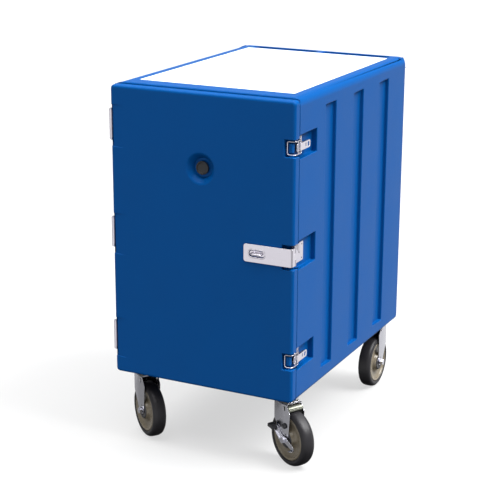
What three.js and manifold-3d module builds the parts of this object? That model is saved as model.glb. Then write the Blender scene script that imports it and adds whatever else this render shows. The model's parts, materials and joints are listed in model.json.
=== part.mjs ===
// Insulated front-loading food carrier on four casters: a double-walled polyethylene body and door filled
// with foam, with moulded pan rails, three hinges, two draw latches and a padlock hasp.
// Millimetres, +Z up, +X to the right of someone facing the door, +Y towards the rear, floor at Z = 0.
import * as THREE from "three";
import { mergeVertices } from "three/addons/utils/BufferGeometryUtils.js";
import Module from "manifold-3d";

const wasm = await Module();
wasm.setup();

// ---- driving dimensions ----
const GAP = 0.3; // between touching pieces
const SKIN = 4; // moulded wall thickness
const BODY = { left: -260, right: 260, front: 0, rear: 736, bottom: 196, top: 982 };
const CABIN = { half: 232, rear: 704, bottom: 241, top: 922, corner: 16 };
const RAIL = { count: 7, first: 323, pitch: 85, reach: 18, height: 11, start: 30, slope: 10 };
const DOOR = { half: 261, front: -30, back: -5, bottom: 197, top: 978, corner: 11, edge: 8 };
const PLUG = { half: 228, back: 25, bottom: 245, top: 918, corner: 20 };
const GASKET = { inner: 3, outer: 12, front: -4.7, back: -0.3 };
const CHANNELS = { starts: [153, 338, 523], width: 72, depth: 10, bottom: 232, top: 940, slope: 14 };
const TOP_BOARD = { half: 220, front: 51, rear: 684, depth: 3, thickness: 2.4, corner: 4 };
const HANDLE = { inner: 9, outer: 215, front: 696, bar: 722, floor: 936, barBottom: 958, lip: 4 };
const LATCH = {
  heights: [309, 861],
  recess: 16,
  length: 104,
  half: 30,
  notchHalf: 22,
  notch: 232,
  through: 249,
};
const HASP = { height: 585, recess: 14, length: 105, half: 38, notchHalf: 32, notch: 228, through: 245 };
const HINGE = { heights: [296, 584, 872], x: -268, y: -15, half: 39.5, recessHalf: 55, barrel: 5, pin: 2.5 };
const VENT = { x: 0, z: 785, dish: 40, floorRadius: 25, depth: 19, tube: 10.7, cap: 17.5 };
const WHEEL = { radius: 76, tyre: 60, half: 19, hubHalf: 21, bush: 9, axle: 5 };
const CASTER = {
  x: 214,
  front: 48,
  rear: 676,
  swivelLead: 25,
  rigidLead: 20,
  legInner: 23,
  leg: 3.5,
  crown: 172,
};
const LEG = { foot: 11, knee: 122, front: 25, swivelHeel: 18, rigidHeel: 10 };
const CASTER_PLATE = { halfWidth: 32, halfLength: 46, thickness: 4, corner: 7 };
const SWIVEL_HEADING = { left: -36.3, right: -28.8 }; // degrees from +X to the side the wheel trails on
const NOTCH_DEPTH = 18; // of the stepped notches in the door's right edge
const SIDES = 24; // facets of a wheel

// ---- materials ----
function material(color, roughness, metalness = 0) {
  return new THREE.MeshStandardMaterial({ color, roughness, metalness });
}
const BLUE = material(0x10519c, 0.45);
const FOAM = material(0xe8d9a8, 0.95);
const WHITE = material(0xf7f7f9, 0.5);
const RUBBER = material(0x2a2a2e, 0.8);
const STEEL = material(0xc9c9d2, 0.3, 0.9);
const ZINC = material(0xbfc2ca, 0.4, 0.9);
const DARK = material(0x303034, 0.6);
const TYRE = material(0x3d3b3f, 0.8);
const HUB = material(0x9a8f7c, 0.6);

// ---- solids ----
function solid(geometry) {
  const bare = geometry.clone();
  bare.deleteAttribute("normal");
  bare.deleteAttribute("uv");
  const merged = mergeVertices(bare, 1e-4);
  return new wasm.Manifold(
    new wasm.Mesh({
      numProp: 3,
      vertProperties: new Float32Array(merged.attributes.position.array),
      triVerts: new Uint32Array(merged.index.array),
    }),
  );
}

function mesh(name, body, look) {
  const data = body.getMesh();
  const geometry = new THREE.BufferGeometry();
  const points = new Float32Array(data.numVert * 3);
  for (let i = 0; i < data.numVert; i++) {
    points.set(data.vertProperties.subarray(i * data.numProp, i * data.numProp + 3), i * 3);
  }
  geometry.setAttribute("position", new THREE.BufferAttribute(points, 3));
  geometry.setIndex(new THREE.BufferAttribute(data.triVerts, 1));
  geometry.computeVertexNormals();
  const made = new THREE.Mesh(geometry, look);
  made.name = name;
  return made;
}

function box(x0, x1, y0, y1, z0, z1) {
  const geometry = new THREE.BoxGeometry(x1 - x0, y1 - y0, z1 - z0);
  geometry.translate((x0 + x1) / 2, (y0 + y1) / 2, (z0 + z1) / 2);
  return solid(geometry);
}

// A rectangle with its own radius at each corner: low-left, low-right, high-right, high-left.
function roundRect(u0, v0, u1, v1, radii) {
  const [a, b, c, d] = Array.isArray(radii) ? radii : [radii, radii, radii, radii];
  const corners = [
    [u1, v0, -1, 1, b],
    [u1, v1, -1, -1, c],
    [u0, v1, 1, -1, d],
    [u0, v0, 1, 1, a],
  ];
  const shape = new THREE.Shape();
  shape.moveTo(u0 + a, v0);
  corners.forEach(([u, v, inU, inV, radius], i) => {
    const turn = ((i - 1) * Math.PI) / 2;
    if (radius > 0) {
      shape.absarc(u + inU * radius, v + inV * radius, radius, turn, turn + Math.PI / 2, false);
    } else {
      shape.lineTo(u, v);
    }
  });
  return shape;
}

function polygon(points) {
  return new THREE.Shape(points.map(([u, v]) => new THREE.Vector2(u, v)));
}

function extruded(shape, depth, curveSegments) {
  return new THREE.ExtrudeGeometry(shape, { depth, bevelEnabled: false, curveSegments, steps: 1 });
}

// A plan drawn in X and Y, standing from z0 to z1.
function upright(shape, z0, z1, curveSegments = 3) {
  return solid(extruded(shape, z1 - z0, curveSegments).translate(0, 0, z0));
}

// A front view drawn in X and Z, running back from y0 to y1.
function frontal(shape, y0, y1, curveSegments = 3) {
  const turn = new THREE.Matrix4().makeBasis(
    new THREE.Vector3(1, 0, 0),
    new THREE.Vector3(0, 0, 1),
    new THREE.Vector3(0, -1, 0),
  );
  return solid(extruded(shape, y1 - y0, curveSegments).applyMatrix4(turn).translate(0, y1, 0));
}

// A side view drawn in Y and Z, running across from x0 to x1.
function sideways(shape, x0, x1, curveSegments = 3) {
  const turn = new THREE.Matrix4().makeBasis(
    new THREE.Vector3(0, 1, 0),
    new THREE.Vector3(0, 0, 1),
    new THREE.Vector3(1, 0, 0),
  );
  return solid(extruded(shape, x1 - x0, curveSegments).applyMatrix4(turn).translate(x0, 0, 0));
}

// A cylinder about the Z axis of (x, y).
function post(x, y, radius, z0, z1, sides = 10) {
  const geometry = new THREE.CylinderGeometry(radius, radius, z1 - z0, sides);
  geometry.rotateX(Math.PI / 2);
  return solid(geometry.translate(x, y, (z0 + z1) / 2));
}

// A cylinder or cone about the Y axis of (x, z).
function bar(x, z, radiusFront, radiusRear, y0, y1, sides = 24) {
  const geometry = new THREE.CylinderGeometry(radiusRear, radiusFront, y1 - y0, sides);
  return solid(geometry.translate(x, (y0 + y1) / 2, z));
}

// A profile of [radius, height] points turned about Z, then laid along the X axis.
function turned(profile, sides = SIDES) {
  const points = profile.map(([r, h]) => new THREE.Vector2(r, h));
  const geometry = new THREE.LatheGeometry(points, sides);
  geometry.rotateX(Math.PI / 2);
  geometry.rotateY(Math.PI / 2);
  const made = solid(geometry);
  return made.volume() < 0 ? solid(flipped(geometry)) : made;
}

function flipped(geometry) {
  const turnedRound = geometry.clone();
  const index = turnedRound.index.array;
  for (let i = 0; i < index.length; i += 3) {
    [index[i + 1], index[i + 2]] = [index[i + 2], index[i + 1]];
  }
  return turnedRound;
}

// A round wire or bar that follows a path.
function wire(path, radius, steps, sides = 8) {
  const section = new THREE.Shape();
  section.absarc(0, 0, radius, 0, Math.PI * 2, false);
  return solid(
    new THREE.ExtrudeGeometry(section, {
      steps,
      curveSegments: sides / 2,
      extrudePath: path,
      bevelEnabled: false,
    }),
  );
}

function joined(pieces) {
  return pieces.reduce((all, piece) => all.add(piece));
}

// ---- body ----
// The outside of the body, drawn in by "inset" for the foam space.
function bodyBlock(inset) {
  const x0 = BODY.left + inset;
  const x1 = BODY.right - inset;
  const y0 = BODY.front + inset;
  const y1 = BODY.rear - inset;
  const z0 = BODY.bottom + inset;
  const z1 = BODY.top - inset;
  const across = frontal(roundRect(x0, z0, x1, z1, [10, 10, 22, 22]), y0, y1, 3);
  const plan = upright(roundRect(x0, y0, x1, y1, [5, 5, 16, 16]), z0, z1, 3);
  const side = sideways(roundRect(y0, z0, y1, z1, [4, 10, 10, 4]), x0, x1, 2);
  return across.intersect(plan).intersect(side);
}

// The lip along the top of the rear face that thickens the two handle bars.
function rearLip() {
  const y1 = BODY.rear + HANDLE.lip;
  const z1 = BODY.top - 2;
  return sideways(roundRect(BODY.rear - 12, HANDLE.barBottom - 6, y1, z1, [0, 4, 9, 0]), -252, 252, 3);
}

// A shallow upright channel on one side: square at its rear wall and eased at its front one.
function channel(start, side, grow) {
  const depth = CHANNELS.depth + grow;
  const y0 = start - grow;
  const y1 = start + CHANNELS.width + grow;
  const face = BODY.right + 1;
  const points = [
    [face, y0],
    [face, y1],
    [BODY.right - depth, y1],
    [BODY.right - depth, y0 + CHANNELS.slope],
  ];
  return upright(polygon(points.map(([x, y]) => [side * x, y])), CHANNELS.bottom - grow, CHANNELS.top + grow);
}

// Every hollow pressed into the outside of the body.
function bodyPockets(grow) {
  const pockets = [];
  for (const side of [-1, 1]) {
    for (const start of CHANNELS.starts) {
      pockets.push(channel(start, side, grow));
    }
  }
  for (const height of LATCH.heights) {
    const half = LATCH.half + grow;
    const outline = roundRect(-9, height - half, LATCH.length + grow, height + half, 3);
    pockets.push(sideways(outline, BODY.right - LATCH.recess - grow, BODY.right + 1, 1));
  }
  const haspOutline = roundRect(
    -9,
    HASP.height - HASP.half - grow,
    HASP.length + grow,
    HASP.height + HASP.half + grow,
    3,
  );
  pockets.push(sideways(haspOutline, BODY.right - HASP.recess - grow, BODY.right + 1, 1));
  for (const height of HINGE.heights) {
    const half = HINGE.recessHalf + grow;
    const outline = roundRect(-9, height - half, 46 + grow, height + half, 5);
    pockets.push(sideways(outline, BODY.left - 1, BODY.left + 3 + grow, 1));
  }
  pockets.push(
    upright(
      roundRect(
        -TOP_BOARD.half - 0.5 - grow,
        TOP_BOARD.front - 0.5 - grow,
        TOP_BOARD.half + 0.5 + grow,
        TOP_BOARD.rear + 0.5 + grow,
        TOP_BOARD.corner,
      ),
      BODY.top - TOP_BOARD.depth - grow,
      BODY.top + 1,
      2,
    ),
  );
  for (const side of [-1, 1]) {
    const [x0, x1] = side < 0 ? [-HANDLE.outer, -HANDLE.inner] : [HANDLE.inner, HANDLE.outer];
    const well = roundRect(x0 - grow, HANDLE.front - grow, x1 + grow, HANDLE.bar + grow, 9);
    pockets.push(upright(well, HANDLE.floor - grow, BODY.top + 1, 2));
    const window = roundRect(x0 - grow, HANDLE.floor - grow, x1 + grow, HANDLE.barBottom + grow, 6);
    pockets.push(frontal(window, HANDLE.bar - 10, BODY.rear + HANDLE.lip + 1, 2));
  }
  return joined(pockets);
}

function cabin(grow) {
  const outline = roundRect(
    -CABIN.half - grow,
    CABIN.bottom - grow,
    CABIN.half + grow,
    CABIN.top + grow,
    CABIN.corner + grow / 2,
  );
  return frontal(outline, -1, CABIN.rear + grow, 3);
}

function panRails() {
  const rails = [];
  for (let i = 0; i < RAIL.count; i++) {
    const top = RAIL.first + i * RAIL.pitch;
    for (const side of [-1, 1]) {
      const ledge = [
        [side * (CABIN.half + 2), top - RAIL.height - RAIL.slope / 2],
        [side * (CABIN.half - RAIL.reach), top - RAIL.height + RAIL.slope / 2],
        [side * (CABIN.half - RAIL.reach), top],
        [side * (CABIN.half + 2), top],
      ];
      rails.push(frontal(polygon(ledge), RAIL.start, CABIN.rear + 2));
    }
  }
  return joined(rails);
}

const FILL_HOLES = [
  [0, 210],
  [0, 520],
];

function bodyShell() {
  let shell = bodyBlock(0).add(rearLip()).subtract(bodyPockets(0)).subtract(cabin(0));
  const hollow = bodyBlock(SKIN).subtract(bodyPockets(SKIN)).subtract(cabin(SKIN));
  shell = shell.subtract(hollow).add(panRails());
  for (const [x, y] of FILL_HOLES) {
    shell = shell.subtract(post(x, y, 12.4, BODY.bottom - 1, BODY.bottom + SKIN + 1));
  }
  return shell;
}

function bodyFoam() {
  const inset = SKIN + GAP;
  return bodyBlock(inset).subtract(bodyPockets(inset)).subtract(cabin(inset));
}

// ---- door ----
function doorSlab(inset) {
  const x1 = DOOR.half - inset;
  const y0 = DOOR.front + inset;
  const y1 = DOOR.back - inset;
  const z0 = DOOR.bottom + inset;
  const z1 = DOOR.top - inset;
  const outline = frontal(roundRect(-x1, z0, x1, z1, DOOR.corner), y0, y1, 3);
  const plan = upright(roundRect(-x1, y0, x1, y1, [DOOR.edge, DOOR.edge, 0, 0]), z0, z1, 2);
  const side = sideways(roundRect(y0, z0, y1, z1, [DOOR.edge, 0, 0, DOOR.edge]), -x1, x1, 2);
  return outline.intersect(plan).intersect(side);
}

function doorPlug(inset) {
  const x1 = PLUG.half - inset;
  const outline = roundRect(-x1, PLUG.bottom + inset, x1, PLUG.top - inset, PLUG.corner);
  return frontal(outline, DOOR.back - SKIN * 2 - 1, PLUG.back - inset);
}

// A notch in the door's right edge, stepped so that its outer part goes right through.
function edgeNotch({ notch, through, notchHalf }, height, grow) {
  const z0 = height - notchHalf - grow;
  const z1 = height + notchHalf + grow;
  const step = box(notch - grow, DOOR.half + 1, DOOR.front - 1, DOOR.front + NOTCH_DEPTH + grow, z0, z1);
  return step.add(box(through - grow, DOOR.half + 1, DOOR.front - 1, DOOR.back + 1, z0, z1));
}

function doorPockets(grow) {
  const pockets = [];
  for (const height of HINGE.heights) {
    const half = HINGE.recessHalf + grow;
    const outline = roundRect(-DOOR.half - 9, height - half, -DOOR.half + 6 + grow, height + half, 5);
    pockets.push(frontal(outline, DOOR.front - 1, DOOR.back + 1, 2));
  }
  for (const height of LATCH.heights) {
    pockets.push(edgeNotch(LATCH, height, grow));
  }
  pockets.push(edgeNotch(HASP, HASP.height, grow));
  const rim = VENT.dish + grow;
  const floor = VENT.floorRadius + grow;
  pockets.push(bar(VENT.x, VENT.z, rim + 1, floor, DOOR.front - 1, DOOR.front + VENT.depth + grow));
  return joined(pockets);
}

// The posts moulded in the latch notches, which the bails hook on.
function bailPosts() {
  const plan = roundRect(240, -23.5, 251.5, -10, [4, 4, 0, 0]);
  return joined(LATCH.heights.map((height) => upright(plan, height - 12, height + 12, 3)));
}

function ventBore(radius) {
  return bar(VENT.x, VENT.z, radius, radius, DOOR.front - 1, PLUG.back + 1);
}

function doorShell() {
  const outside = doorSlab(0).add(doorPlug(0)).subtract(doorPockets(0)).add(bailPosts());
  const hollow = doorSlab(SKIN).add(doorPlug(SKIN)).subtract(doorPockets(SKIN));
  return outside.subtract(hollow).subtract(ventBore(VENT.tube + GAP));
}

function doorFoam() {
  const inset = SKIN + GAP;
  const filled = doorSlab(inset).add(doorPlug(inset)).subtract(doorPockets(inset));
  return filled.subtract(ventBore(VENT.tube + GAP));
}

function doorGasket() {
  const ring = (reach, radius) =>
    roundRect(
      -PLUG.half - reach,
      PLUG.bottom - reach,
      PLUG.half + reach,
      PLUG.top + reach,
      radius,
    );
  const outer = frontal(ring(GASKET.outer, 28), GASKET.front, GASKET.back);
  return outer.subtract(frontal(ring(GASKET.inner, 22), GASKET.front - 1, GASKET.back + 1));
}

function ventTube() {
  const y0 = DOOR.front + VENT.depth + 0.6;
  const sleeve = bar(VENT.x, VENT.z, VENT.tube, VENT.tube, y0 - 3, PLUG.back + 0.5);
  const flange = bar(VENT.x, VENT.z, 15, 15, PLUG.back + GAP, PLUG.back + 2.5);
  return sleeve.add(flange).subtract(bar(VENT.x, VENT.z, 7.6, 7.6, y0 - 9, PLUG.back + 9));
}

function ventCap() {
  const y0 = DOOR.front + 9;
  const head = bar(VENT.x, VENT.z, VENT.cap, VENT.cap, y0, y0 + 6.5);
  const dish = bar(VENT.x, VENT.z, VENT.cap - 3, VENT.cap - 5, y0 - 1, y0 + 1.5);
  const stem = bar(VENT.x, VENT.z, 7.2, 6.4, y0 + 5, PLUG.back - 2);
  return head.subtract(dish).add(stem);
}

// ---- hinges ----
function barrel(x, y, outer, inner, z0, z1) {
  return post(x, y, outer, z0, z1).subtract(post(x, y, inner, z0 - 1, z1 + 1));
}

function hingeBodyLeaf(height) {
  const { x, y, half, pin } = HINGE;
  const third = half * 2 / 3;
  const bore = pin + GAP;
  const face = BODY.left + 3 - GAP;
  const plate = sideways(roundRect(2, height - half, 40, height + half, [0, 3, 3, 0]), face - 2, face, 2);
  const arm = upright(
    polygon([
      [x + 1, y - 3.5],
      [x + 4, y - 1.5],
      [face, 0],
      [face, 4],
      [face - 2, 4],
      [x, y + 4],
    ]),
    height - half,
    height + half,
  );
  const middle = box(x - 12, face - 0.2, y - 12, -0.6, height - third / 2 - GAP, height + third / 2 + GAP);
  const knuckles = post(x, y, HINGE.barrel, height - half, height + half);
  return plate.add(arm.add(knuckles).subtract(middle)).subtract(post(x, y, bore, height - 99, height + 99));
}

function hingeDoorLeaf(height) {
  const { x, y, half, pin } = HINGE;
  const third = half * 2 / 3;
  const bore = pin + GAP;
  const face = -DOOR.half + 6 - GAP;
  const plate = sideways(roundRect(-27, height - half + 3, -8, height + half - 3, 2), face - 2, face, 2);
  const arm = box(x, face - 1, y - 1.2, y + 1.2, height - third / 2 + GAP, height + third / 2 - GAP);
  const knuckle = post(x, y, HINGE.barrel, height - third / 2 + GAP, height + third / 2 - GAP);
  return plate.add(arm).add(knuckle).subtract(post(x, y, bore, height - 99, height + 99));
}

function hingePin(height) {
  const { x, y, half, pin } = HINGE;
  const shank = post(x, y, pin, height - half - 2, height + half + GAP);
  return shank.add(post(x, y, pin + 1.6, height + half + GAP, height + half + 2.5));
}

// ---- draw latches ----
const LEVER_PIVOT = { x: 251, y: 6 };
const BAIL_PIVOT = { x: 257.4, y: 12.4 };
const LEVER = { half: 9.5, web: 260.4, end: 62, slots: [[33, 4.5], [47, 8]] };
const BAIL = { wire: 1.5, half: 16.5, front: -22.5, end: 237, bend: 8, corner: 5 };
const YOKE = { front: -12, rear: 2, half: 9.5, sheet: 1.5, slots: [-10.5, -3], slot: 4 };

function latchBase(height) {
  const floor = BODY.right - LATCH.recess + GAP;
  const { x, y } = LEVER_PIVOT;
  const plate = sideways(roundRect(4, height - 15, 74, height + 15, [2, 12, 12, 2]), floor, floor + 2, 3);
  const tabs = sideways(roundRect(24, height - 23, 38, height + 23, 3), floor, floor + 2, 1);
  const pieces = [plate, tabs, post(x, y, 2, height - 14.5, height + 14.5, 8)];
  for (const side of [-1, 1]) {
    const z0 = side > 0 ? height + 11.5 : height - 13.5;
    const ear = roundRect(floor, y - 2, x + 5.5, y + 5, [0, 2, 4.5, 0]);
    pieces.push(upright(ear, z0, z0 + 2, 3));
  }
  return joined(pieces);
}

function latchLever(height) {
  const { x, y } = LEVER_PIVOT;
  const { half, web: sheet, end } = LEVER;
  const outline = roundRect(3.5, height - half, end, height + half, [2, 5, 5, 2]);
  const web = sideways(outline, sheet - 1.5, sheet, 3);
  const pieces = [web];
  for (const side of [-1, 1]) {
    const z0 = side > 0 ? height + half - 1.6 : height - half;
    const flange = polygon([
      [x - 3, y - 3.5],
      [x + 3, y - 4],
      [259.2, 3.5],
      [259.2, 50],
      [254, 46],
      [x + 1, 20],
      [x - 4, y + 3],
    ]);
    pieces.push(upright(flange, z0, z0 + 1.6));
  }
  let lever = joined(pieces).subtract(post(x, y, 2.3, height - 20, height + 20, 8));
  lever = lever.subtract(post(BAIL_PIVOT.x, BAIL_PIVOT.y, BAIL.wire + GAP, height - 20, height + 20, 8));
  for (const [start, length] of LEVER.slots) {
    const slot = roundRect(start, height - 5.5, start + length, height + 5.5, 1.5);
    lever = lever.subtract(sideways(slot, sheet - 4, sheet + 2, 1));
  }
  return lever;
}

// Points of one half of the bail, from its pin in the lever to the middle of its hooked end.
function bailHalf(height, side) {
  const z = height + side * BAIL.half;
  const { x, y } = BAIL_PIVOT;
  const { front, end, bend, corner } = BAIL;
  const path = new THREE.CurvePath();
  const at = (px, py, pz) => new THREE.Vector3(px, py, pz);
  path.add(new THREE.LineCurve3(at(x, y, height + side * (LEVER.half - 1.4)), at(x, y, z - side * 2)));
  path.add(new THREE.QuadraticBezierCurve3(at(x, y, z - side * 2), at(x, y, z), at(x, y - 2, z)));
  path.add(new THREE.LineCurve3(at(x, y - 2, z), at(x, front + bend, z)));
  path.add(new THREE.QuadraticBezierCurve3(at(x, front + bend, z), at(x, front, z), at(x - bend, front, z)));
  path.add(new THREE.LineCurve3(at(x - bend, front, z), at(end + corner, front, z)));
  const turned = at(end, front, z - side * corner);
  path.add(new THREE.QuadraticBezierCurve3(at(end + corner, front, z), at(end, front, z), turned));
  path.add(new THREE.LineCurve3(turned, at(end, front, height - side * 0.4)));
  return path;
}

function latchBail(height) {
  const loop = wire(bailHalf(height, 1), BAIL.wire, 20, 6).add(wire(bailHalf(height, -1), BAIL.wire, 20, 6));
  const { front, rear, sheet, half, slots, slot } = YOKE;
  const x1 = BAIL_PIVOT.x + 1;
  let yoke = sideways(roundRect(front, height - half, rear, height + half, 2), x1 - sheet, x1, 2);
  for (const start of slots) {
    const hole = roundRect(start, height - half + 2, start + slot, height + half - 2, 1.5);
    yoke = yoke.subtract(sideways(hole, x1 - 9, x1 + 9, 1));
  }
  const y0 = slots[0] + slot + 0.5;
  const bridge = box(x1 - sheet, x1, y0, slots[1] - 0.5, height - BAIL.half, height + BAIL.half);
  return loop.add(yoke).add(bridge);
}

// ---- padlock hasp ----
const HASP_PIVOT = { x: 254, y: -9 };
const STRAP = { end: 124, front: -33.6, thickness: 2, side: 258, bend: 8, half: 23.5 };
const STAPLE = { from: 147, to: 175, eye: -46, wire: 2.5, foot: 7 };

function haspKnuckles(height, lengths) {
  const { x, y } = HASP_PIVOT;
  return joined(lengths.map(([z0, z1]) => post(x, y, 4, height + z0, height + z1)));
}

function haspSideLeaf() {
  const { height } = HASP;
  const floor = BODY.right - HASP.recess + GAP;
  const plate = sideways(roundRect(-2, height - 25, 46, height + 25, [1, 4, 4, 1]), floor, floor + 2, 2);
  const arms = box(floor, floor + 6.5, -10, 0, height - 25, height + 25);
  const slot = box(floor - 1, 262, -20, -1.2, height - 8.4, height + 8.4);
  const bore = post(HASP_PIVOT.x, HASP_PIVOT.y, 2.3, height - 60, height + 60, 12);
  const knuckles = haspKnuckles(height, [[-25, -8.4], [8.4, 25]]);
  return plate.add(arms.subtract(slot)).add(knuckles).subtract(bore);
}

function haspStrap() {
  const { height } = HASP;
  const { end, front, thickness, side, bend, half } = STRAP;
  const inner = bend - thickness;
  const plan = new THREE.Shape();
  plan.moveTo(end, front);
  plan.lineTo(side - bend, front);
  plan.absarc(side - bend, front + bend, bend, -Math.PI / 2, 0, false);
  plan.lineTo(side, HASP_PIVOT.y);
  plan.lineTo(side - thickness, HASP_PIVOT.y);
  plan.absarc(side - bend, front + bend, inner, 0, -Math.PI / 2, true);
  plan.lineTo(end, front + thickness);
  plan.closePath();
  const bent = upright(plan, height - half, height + half, 4);
  const outline = roundRect(end, height - half, side + 9, height + half, [6, 0, 0, 6]);
  const corners = frontal(outline, front - 1, 9, 3);
  const clearance = [
    [-half - 1, -8],
    [8, half + 1],
  ];
  let strap = bent.intersect(corners);
  for (const [z0, z1] of clearance) {
    strap = strap.subtract(box(side - 12, side + 9, HASP_PIVOT.y - 5, 20, height + z0, height + z1));
  }
  strap = strap.add(haspKnuckles(height, [[-8, 8]]));
  strap = strap.subtract(post(HASP_PIVOT.x, HASP_PIVOT.y, 2.3, height - 60, height + 60, 12));
  const slot = roundRect(STAPLE.from - 8, height - 9, STAPLE.to + 8, height + 9, 8.9);
  return strap.subtract(frontal(slot, front - 1, front + thickness + 1, 5));
}

function haspPin() {
  const { x, y } = HASP_PIVOT;
  const top = HASP.height + 25 + GAP;
  return post(x, y, 2, HASP.height - 26, top + 1, 12).add(post(x, y, 3.4, top, top + 2.7, 12));
}

function haspStaple() {
  const { height } = HASP;
  const at = (x, y) => new THREE.Vector3(x, y, height);
  const arch = new THREE.CubicBezierCurve3(
    at(STAPLE.from, DOOR.front - 0.8),
    at(STAPLE.from, STAPLE.eye),
    at(STAPLE.to, STAPLE.eye),
    at(STAPLE.to, DOOR.front - 0.8),
  );
  const { from, to, foot } = STAPLE;
  const plate = roundRect(from - foot, height - foot, to + foot, height + foot, foot - 0.5);
  return frontal(plate, DOOR.front - 1.3, DOOR.front - GAP, 3).add(wire(arch, STAPLE.wire, 12));
}

// ---- casters: drawn at the origin with the axle along X and the wheel trailing towards -Y ----
function tyre() {
  const { radius, tyre: inner, half } = WHEEL;
  const profile = [
    [inner, -half + 2],
    [radius - 9, -half],
    [radius - 3, -half + 4],
    [radius, -half + 12],
    [radius, half - 12],
    [radius - 3, half - 4],
    [radius - 9, half],
    [inner, half - 2],
    [inner, -half + 2],
  ];
  return turned(profile);
}

function wheelHub() {
  const { tyre: inner, half, hubHalf, bush } = WHEEL;
  const rim = inner - GAP;
  const bore = bush + GAP;
  const profile = [
    [bore, -hubHalf],
    [24, -hubHalf],
    [26, -11],
    [49, -11],
    [rim, -half + 3],
    [rim, half - 3],
    [49, 11],
    [26, 11],
    [24, hubHalf],
    [bore, hubHalf],
    [bore, -hubHalf],
  ];
  return turned(profile);
}

function wheelBush() {
  const bore = WHEEL.axle + GAP;
  const end = WHEEL.hubHalf + 1;
  return turned([[bore, -end], [WHEEL.bush, -end], [WHEEL.bush, end], [bore, end], [bore, -end]], 16);
}

function rod(x0, x1, y, z, radius, sides) {
  const geometry = new THREE.CylinderGeometry(radius, radius, x1 - x0, sides);
  geometry.rotateZ(Math.PI / 2);
  return solid(geometry.translate((x0 + x1) / 2, y, z));
}

// "spacer" is the room that a lever takes between one leg and the bolt's head.
function axleBolt(lead, spacer = 0) {
  const z = WHEEL.radius;
  const outer = CASTER.legInner + CASTER.leg + GAP;
  const head = -outer - spacer;
  const shank = rod(head - 3, outer + 3, -lead, z, WHEEL.axle, 12);
  return shank.add(rod(head - 7, head, -lead, z, 9, 6)).add(rod(outer, outer + 8, -lead, z, 9, 6));
}

function forkLegs(lead, heel, top) {
  const z = WHEEL.radius;
  const { foot, knee, front } = LEG;
  const side = new THREE.Shape();
  side.moveTo(-lead - foot, z);
  side.absarc(-lead, z, foot, Math.PI, Math.PI * 1.9, false);
  side.lineTo(front, knee);
  side.lineTo(front, top);
  side.lineTo(-lead - heel, top);
  side.closePath();
  const { legInner, leg } = CASTER;
  const pair = sideways(side, -legInner - leg, -legInner, 4).add(sideways(side, legInner, legInner + leg, 4));
  return pair.subtract(rod(-60, 60, -lead, z, WHEEL.axle + GAP, 12));
}

function swivelFork() {
  const { swivelLead: lead, legInner, leg, crown } = CASTER;
  const outer = legInner + leg;
  const cap = upright(roundRect(-outer, -lead - LEG.swivelHeel, outer, LEG.front, 6), crown, crown + 4, 3);
  const race = post(0, 0, 29, crown + 3, crown + 9, 20);
  const legs = forkLegs(lead, LEG.swivelHeel, crown + 4);
  return cap.add(race).add(legs).subtract(post(0, 0, 7.4, crown - 9, crown + 20));
}

function casterPlate() {
  const { halfWidth, halfLength, thickness, corner } = CASTER_PLATE;
  const top = BODY.bottom - GAP;
  return upright(roundRect(-halfWidth, -halfLength, halfWidth, halfLength, corner), top - thickness, top, 2);
}

function swivelPlate() {
  const race = post(0, 0, 31, CASTER.crown + 9.4, BODY.bottom - 2, 20);
  return casterPlate().add(race).subtract(post(0, 0, 7.4, CASTER.crown, BODY.bottom + 9));
}

function kingpin() {
  const shank = post(0, 0, 7, CASTER.crown - 4, BODY.bottom - 1.5);
  return shank.add(post(0, 0, 12, CASTER.crown - 7, CASTER.crown - GAP, 6));
}

function rigidFork() {
  const { legInner, leg, rigidLead: lead } = CASTER;
  const outer = legInner + leg;
  const top = BODY.bottom - GAP;
  const crown = upright(roundRect(-outer, -lead - LEG.rigidHeel, outer, LEG.front, 4), top - 12, top - 3, 2);
  return casterPlate().add(crown).add(forkLegs(lead, LEG.rigidHeel, top - 4));
}

// ---- brake of the front right caster ----
const BRAKE = { side: -27.1, sheet: 2.4, tread: [30, 50, 22, 34], treadWidth: 19, toe: [-44, -35, -20, -17] };
const SHOE = { half: 22.6, cheek: 2.2, from: -15, to: 12, bottom: 154.6, top: 166, arm: 132 };

// A rocker on the axle: a tread at the front presses it down, and a toe at the rear lifts it off.
function brakePedal() {
  const { side, sheet, tread, treadWidth, toe } = BRAKE;
  const y = -CASTER.swivelLead;
  const z = WHEEL.radius;
  const rocker = [
    [9, -7],
    [36, 14],
    [50, 24],
    [48, 34],
    [30, 32],
    [4, 10],
    [-10, 8],
    [-44, -8],
    [-44, -20],
    [-34, -20],
    [-8, -10],
  ];
  const web = sideways(polygon(rocker.map(([u, v]) => [y + u, z + v])), side - sheet, side);
  const pad = box(side - treadWidth, side, y + tread[0], y + tread[1], z + tread[2], z + tread[3]);
  const lip = box(side - treadWidth + 5, side, y + toe[0], y + toe[1], z + toe[2], z + toe[3]);
  return joined([web, pad, lip]).subtract(rod(-60, 0, y, z, WHEEL.axle + GAP, 12));
}

// The shoe hangs between the fork's legs over the tread of the tyre.
function brakeShoe() {
  const { half, cheek, from, to, bottom, top, arm } = SHOE;
  const y = -CASTER.swivelLead;
  const block = box(-half, half, y + from, y + to, bottom, top);
  const cheeks = [-1, 1].map((side) => {
    const [x0, x1] = side < 0 ? [-half, -half + cheek] : [half - cheek, half];
    return box(x0, x1, y - 6, y + 6, arm, bottom + 1);
  });
  return joined([block, ...cheeks]);
}

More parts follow.
